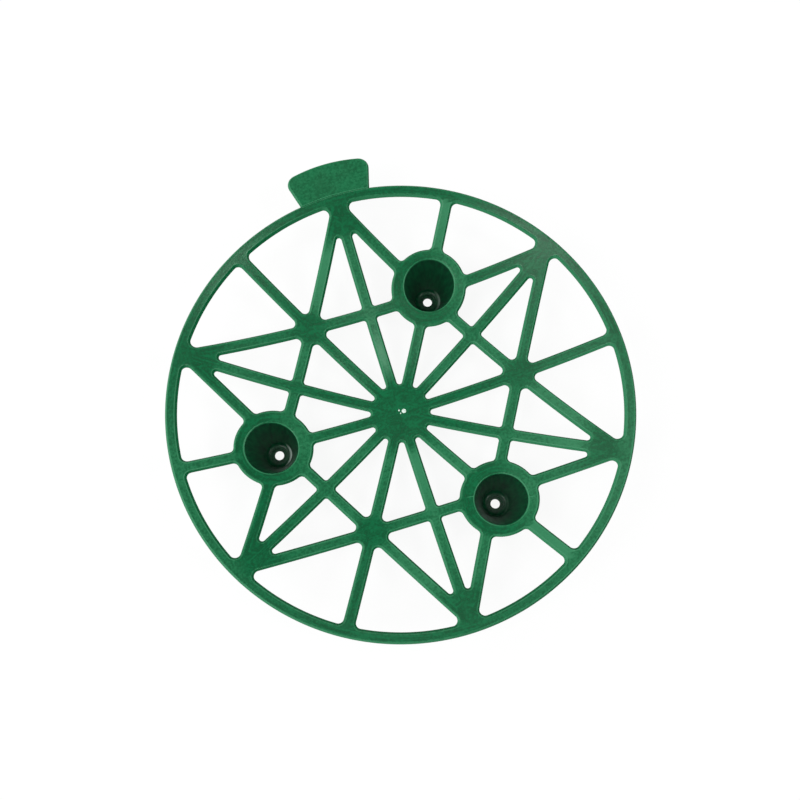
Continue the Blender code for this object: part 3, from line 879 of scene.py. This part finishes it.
def moulded_green_polypropylene(finish):
    """Injection-moulded polypropylene, dyed green all through, with a satin face."""
    material, tree, shader, place = start_plastic("moulded_green_polypropylene", 0.2)

    # The melt ran along each member and round the flanges, and so do its lines of flow, drawn
    # 0.8 mm wide and 11 mm long
    across = add_node(tree, "ShaderNodeAttribute", {}, attribute_name="across")
    flat = add_node(tree, "ShaderNodeSeparateXYZ", {0: place})
    along = add_node(
        tree, "ShaderNodeCombineXYZ",
        {0: flat.outputs["X"], 1: flat.outputs["Y"], 2: across.outputs["Fac"]})
    lines = add_node(tree, "ShaderNodeMapping", {"Vector": along, "Scale": (90.0, 90.0, 1200.0)})
    flow = add_node(tree, "ShaderNodeTexNoise", {"Vector": lines, "Scale": 1.0, "Detail": 2.0})
    grain = add_node(tree, "ShaderNodeTexNoise", {"Vector": place, **GRAIN})
    both = add_node(tree, "ShaderNodeMix", {0: 0.45, 2: flow, 3: grain})
    ramp = add_node(
        tree, "ShaderNodeValToRGB", {"Fac": both},
        stops=((0.42, finish.deep_green), (0.60, finish.light_green)))

    # Painted sheen and highlights: members that the lamps catch, and round edges, are drawn paler and a
    # little mottled
    highlighted = add_node(tree, "ShaderNodeAttribute", {}, attribute_name="paleness").outputs["Fac"]
    mottle = add_node(
        tree, "ShaderNodeMapRange",
        {"Value": grain, "From Min": 0.35, "From Max": 0.65, "To Min": 0.4, "To Max": 1.5})
    paler = add_node(
        tree, "ShaderNodeMath", {0: highlighted, 1: mottle}, operation="MULTIPLY", use_clamp=True)
    sheened = add_node(
        tree, "ShaderNodeMix", {0: paler, 6: ramp, 7: finish.pale_green}, data_type="RGBA")
    beyond = add_node(
        tree, "ShaderNodeMapRange",
        {"Value": highlighted, "From Min": FULL_PALENESS, "From Max": FULL_PALENESS + EDGE_PALENESS})
    edged = add_node(
        tree, "ShaderNodeMix", {0: beyond, 6: sheened.outputs[2], 7: finish.edge_green},
        data_type="RGBA")

    # A painted glare, drawn pale on one rib beside the gate
    oval = add_node(
        tree, "ShaderNodeMapping",
        {"Vector": place, "Location": TRAY_AXIS + GLARE_PLACE, "Scale": GLARE_REACH},
        vector_type="TEXTURE")
    pale = add_node(
        tree, "ShaderNodeTexGradient", {"Vector": oval}, gradient_type="QUADRATIC_SPHERE")
    share = add_node(
        tree, "ShaderNodeMapRange", {"Value": pale.outputs["Fac"], "From Max": 0.6, "To Max": 0.55})
    tinted = add_node(
        tree, "ShaderNodeMix", {0: share, 6: edged.outputs[2], 7: finish.blush}, data_type="RGBA")
    tree.links.new(tinted.outputs[2], shader.inputs["Base Color"])

    # Satin, a little duller between the flow lines
    gloss = add_node(
        tree, "ShaderNodeMapRange",
        {"Value": both, "From Min": 0.36, "From Max": 0.66, "To Min": 0.28, "To Max": 0.22})
    tree.links.new(gloss.outputs[0], shader.inputs["Roughness"])
    bump = add_node(
        tree, "ShaderNodeBump", {"Height": grain, "Strength": 0.25, "Distance": 0.00003})
    tree.links.new(bump.outputs[0], shader.inputs["Normal"])
    return material


def matt_green_polypropylene(finish):
    """The same plastic on the lattice's drafted sides and outside the legs: matt and dark, but
    with painted light on the sides that face up and to the left."""
    material, tree, shader, place = start_plastic("matt_green_polypropylene", 0.05)
    grain = add_node(tree, "ShaderNodeTexNoise", {"Vector": place, **GRAIN})
    ramp = add_node(
        tree, "ShaderNodeValToRGB", {"Fac": grain},
        stops=((0.35, finish.side_green), (0.70, finish.light_green)))

    # Painted light: the sides that face up and to the left take the highlights' green, as if lit by the
    # left lamp
    left = facing(tree, LIT_SIDE_FACING, (-0.1, 0.6))
    upward = facing(tree, (0.0, 0.0, 1.0), (-0.05, 0.2))
    drawn = add_node(tree, "ShaderNodeMath", {0: left, 1: upward}, operation="MULTIPLY")
    sides = add_node(
        tree, "ShaderNodeMix", {0: drawn, 6: ramp, 7: finish.edge_green}, data_type="RGBA")
    tree.links.new(sides.outputs[2], shader.inputs["Base Color"])
    return material


def polished_green_polypropylene(finish):
    """The same plastic where polished pins shape the hollows: walls dark with painted shade, a glossier
    floor.
    """
    material, tree, shader, place = start_plastic("polished_green_polypropylene", 0.2)

    # Faint lines along the draw of the pins, 1.4 mm wide and 17 mm long
    drag = add_node(tree, "ShaderNodeMapping", {"Vector": place, "Scale": (700.0, 700.0, 60.0)})
    lines = add_node(tree, "ShaderNodeTexNoise", {"Vector": drag, "Scale": 1.0, "Detail": 2.0})
    # Painted shade: the hollows are drawn in a darker green than the lattice
    ramp = add_node(
        tree, "ShaderNodeValToRGB", {"Fac": lines},
        stops=((0.35, finish.inside_green), (0.90, finish.side_green)))

    # The pins' ends are smoother, so the floors shine a little where the walls do not
    height = add_node(tree, "ShaderNodeSeparateXYZ", {0: place}).outputs["Z"]
    gloss = add_node(
        tree, "ShaderNodeMapRange",
        {"Value": height, "From Min": 0.003, "From Max": 0.005, "To Min": 0.3, "To Max": 0.5})
    tree.links.new(gloss.outputs[0], shader.inputs["Roughness"])

    # A painted glint: the floors' round corners are drawn white on the right, each cup's by its own
    # amount
    turned = facing(tree, GLINT_FACING, (0.45, 0.8))
    low = add_node(
        tree, "ShaderNodeMapRange", {"Value": height, "From Min": 0.0032, "From Max": 0.0024})
    corner = add_node(tree, "ShaderNodeMath", {0: turned, 1: low}, operation="MULTIPLY")
    marked = add_node(tree, "ShaderNodeAttribute", {}, attribute_name="paleness").outputs["Fac"]
    glinting = add_node(
        tree, "ShaderNodeMath", {0: corner, 1: marked}, operation="MULTIPLY", use_clamp=True)
    floors = add_node(
        tree, "ShaderNodeMix", {0: glinting, 6: ramp, 7: finish.gate}, data_type="RGBA")
    tree.links.new(floors.outputs[2], shader.inputs["Base Color"])
    return material


def torn_white_polypropylene(finish):
    """The same plastic where the gate was torn off: whitened and rough, with painted glints on it."""
    material, tree, shader, place = start_plastic("torn_white_polypropylene", 0.5, 0.55)

    # Torn flakes, 0.7 mm wide
    torn = add_node(tree, "ShaderNodeTexNoise", {"Vector": place, "Scale": 1500.0, "Detail": 2.0})
    ramp = add_node(
        tree, "ShaderNodeValToRGB", {"Fac": torn},
        stops=((0.30, finish.light_green), (0.45, finish.gate)))
    tree.links.new(ramp.outputs["Color"], shader.inputs["Base Color"])
    return material


def floor_card(finish):
    """Matt white card, bright to the eye and still keeping the tray's shadow."""
    material = bpy.data.materials.new("matt_white_card")
    material.use_nodes = True
    tree = material.node_tree
    tree.nodes.remove(tree.nodes["Principled BSDF"])
    lit = add_node(tree, "ShaderNodeBsdfDiffuse", {"Color": finish.floor})

    # Seen straight on or as a mirror image, the card glows and only a little of it is lit
    seen = add_node(tree, "ShaderNodeLightPath", {})
    direct = add_node(
        tree, "ShaderNodeMath", {0: seen.outputs["Is Camera Ray"], 1: seen.outputs["Is Glossy Ray"]},
        operation="ADD")
    clear = add_node(
        tree, "ShaderNodeMath", {0: direct, 1: seen.outputs["Is Transmission Ray"]},
        operation="ADD", use_clamp=True)
    shade = 1.0 - FLOOR_GLOW
    dim = add_node(tree, "ShaderNodeBsdfDiffuse", {"Color": (shade, shade, shade, 1.0)})
    glow = add_node(tree, "ShaderNodeEmission", {"Color": WHITE, "Strength": FLOOR_GLOW})
    both = add_node(tree, "ShaderNodeAddShader", {0: dim, 1: glow})

    # Far away the card turns pure white, so its edge does not show against the sky
    place = add_node(tree, "ShaderNodeTexCoord", {}).outputs["Object"]
    away = add_node(tree, "ShaderNodeVectorMath", {0: place}, operation="LENGTH")
    far = add_node(
        tree, "ShaderNodeMapRange",
        {"Value": away.outputs["Value"], "From Min": FLOOR_FADE[0], "From Max": FLOOR_FADE[1]})
    white = add_node(tree, "ShaderNodeEmission", {"Color": WHITE, "Strength": 1.0})
    card = add_node(tree, "ShaderNodeMixShader", {0: far, 1: both, 2: white})
    mix = add_node(tree, "ShaderNodeMixShader", {0: clear, 1: lit, 2: card})
    tree.links.new(mix.outputs[0], tree.nodes["Material Output"].inputs["Surface"])
    return material


# ---- operators

class TRAY_OT_moulding(bpy.types.Operator):
    """Model the dished lattice with its rim, star, hub and hollow legs"""

    bl_idname = "melon_tray.moulding"
    bl_label = "Lattice and Legs"

    def execute(self, context):
        tray = context.scene.tray_sizes
        legs = context.scene.leg_sizes
        leg = HollowLeg(tray, legs)
        plate = flat_plate("lattice", lattice_outlines(tray, legs), tray.thickness, tray.side)
        outside = turned_body("leg", leg.centre, leg.outside())
        hollow = turned_body("hollow", leg.centre, leg.inside())
        combine(plate, on_every_cup(outside), "UNION")
        combine(plate, on_every_cup(hollow), "DIFFERENCE")
        weld(plate)
        cut_into_facets(plate, tray.rim_radius)

        def marks(place):
            pale, across = lattice_marks(tray, legs, place)
            # Painted highlights: lips are drawn pale on their left and right; below them the floors
            # take a painted glint
            if -place.z > SHALLOW and leg.holds(place):
                mouth, glint = min(
                    zip(leg.mouths, FLOOR_GLINTS), key=lambda pair: (place.xy - pair[0]).length)
                sideways = abs((place.xy - mouth).normalized().x)
                pale = LIP_PALENESS * sideways if -place.z < legs.lip_round else glint
            return pale, across

        mark_surface(plate, tray.thickness, marks, leg.holds, legs.lip_round)

        def rise(place):
            here = dish_top(tray, math.hypot(place.x, place.y))
            if place.z >= -tray.thickness:
                return here
            at_cup = dish_top(tray, leg.centre.x)
            return at_cup + (here - at_cup) * leg.tilt_share(place.z)

        lift(plate, rise, tray.height)
        weld(plate)
        nodes = [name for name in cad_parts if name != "grip_tab"]
        finishes = (
            moulded_green_polypropylene, matt_green_polypropylene, polished_green_polypropylene)
        finish_piece(plate, "tray_moulding", finishes, *nodes)
        return {"FINISHED"}


class TRAY_OT_grip_tab(bpy.types.Operator):
    """Model the flat grip tab that reaches past the rim"""

    bl_idname = "melon_tray.grip_tab"
    bl_label = "Grip Tab"

    def execute(self, context):
        tray = context.scene.tray_sizes
        tab = context.scene.tab_sizes
        plate = flat_plate("grip", [tab_outline(tray, tab)], tab.thickness, tab.side)
        # The tab is drawn evenly pale: a painted sheen, as it catches the lamps
        mark_surface(plate, tab.thickness, lambda place: (TAB_PALENESS, 0.0))
        edit_all(plate)
        bpy.ops.transform.translate(value=(0.0, 0.0, tray.height - tab.step_down))
        only(plate)
        finishes = (moulded_green_polypropylene, matt_green_polypropylene)
        finish_piece(plate, "grip_tab_piece", finishes, "grip_tab")
        return {"FINISHED"}


class TRAY_OT_gate_mark(bpy.types.Operator):
    """Model the torn mark that the mould's gate leaves on the hub"""

    bl_idname = "melon_tray.gate_mark"
    bl_label = "Gate Mark"

    def execute(self, context):
        tray = context.scene.tray_sizes
        tab = context.scene.tab_sizes
        outlines = [
            circle(Vector((x, y)), tab.gate_radius * share, ARC_STEP) for x, y, share in GATE_STUMPS]
        mark = flat_plate("gate", outlines, tab.gate_height * GATE_THICKNESS, tab.gate_height)
        edit_all(mark)
        bpy.ops.transform.translate(value=(0.0, 0.0, dish_top(tray, 0.0) + tab.gate_height))
        only(mark)
        finish_piece(mark, "gate_mark", (torn_white_polypropylene,))
        return {"FINISHED"}


class TRAY_OT_stage(bpy.types.Operator):
    """Set the floor, the lamps, the sky and the camera"""

    bl_idname = "melon_tray.stage"
    bl_label = "Stage"

    def execute(self, context):
        stage = context.scene.stage_settings
        bpy.ops.object.select_all(action="DESELECT")
        bpy.ops.mesh.primitive_circle_add(
            vertices=stage.floor_sides, radius=stage.floor_radius, fill_type="NGON",
            location=(0.0, 0.0, 0.0))
        floor = context.object
        floor.name = "stage_floor"
        floor.data.materials.append(floor_card(context.scene.tray_finish))

        for name, (size, azimuth, elevation) in LAMPS.items():
            reach = stage.lamp_distance * math.cos(math.radians(elevation))
            height = stage.lamp_distance * math.sin(math.radians(elevation))
            place = TRAY_AXIS + Vector((*polar(reach, math.radians(azimuth)), height))
            bpy.ops.object.light_add(type="AREA", location=place)
            lamp = context.object
            lamp.name = name
            lamp.data.shape = "DISK"
            lamp.data.size = size
            lamp.data.energy = getattr(stage, name + "_power")
            lamp.rotation_euler = (TRAY_AXIS - place).to_track_quat("-Z", "Y").to_euler()

        bpy.ops.object.camera_add(location=stage.camera_place, rotation=stage.camera_turn)
        camera = context.object
        camera.data.lens = stage.lens
        camera.data.clip_start = CLIP_START
        context.scene.camera = camera

        world = bpy.data.worlds.new("soft_sky")
        world.use_nodes = True
        context.scene.world = world
        tree = world.node_tree
        background = tree.nodes["Background"]
        background.inputs["Color"].default_value = WHITE
        background.inputs["Strength"].default_value = stage.sky
        white = add_node(tree, "ShaderNodeBackground", {"Color": WHITE, "Strength": 1.0})
        seen = add_node(tree, "ShaderNodeLightPath", {})
        mix = add_node(
            tree, "ShaderNodeMixShader", {0: seen.outputs["Is Camera Ray"], 1: background, 2: white})
        tree.links.new(mix.outputs[0], tree.nodes["World Output"].inputs["Surface"])

        context.scene.view_settings.view_transform = "Standard"
        return {"FINISHED"}


class TRAY_PT_panel(bpy.types.Panel):
    """Lists the tray's pieces and sizes"""

    bl_label = "Melon Support Tray"
    bl_idname = "TRAY_PT_panel"
    bl_space_type = "VIEW_3D"
    bl_region_type = "UI"
    bl_category = "Melon Tray"

    def draw(self, context):
        for operator in OPERATORS:
            self.layout.operator(operator.bl_idname)
        for group_name in GROUPS:
            group = getattr(context.scene, group_name)
            box = self.layout.box()
            for name in group.__annotations__:
                box.prop(group, name)


GROUPS = {
    "tray_sizes": TraySizes, "leg_sizes": LegSizes, "tab_sizes": TabSizes,
    "tray_finish": TrayFinish, "stage_settings": StageSettings,
}
OPERATORS = (TRAY_OT_moulding, TRAY_OT_grip_tab, TRAY_OT_gate_mark, TRAY_OT_stage)
CLASSES = (*GROUPS.values(), *OPERATORS, TRAY_PT_panel)


def register():
    for cls in CLASSES:
        bpy.utils.register_class(cls)
    for name, group in GROUPS.items():
        setattr(bpy.types.Scene, name, PointerProperty(type=group))


def unregister():
    for name in GROUPS:
        delattr(bpy.types.Scene, name)
    for cls in reversed(CLASSES):
        bpy.utils.unregister_class(cls)


def main():
    register()
    bpy.ops.melon_tray.moulding()
    bpy.ops.melon_tray.grip_tab()
    bpy.ops.melon_tray.gate_mark()
    bpy.ops.melon_tray.stage()


if __name__ == "__main__":
    main()
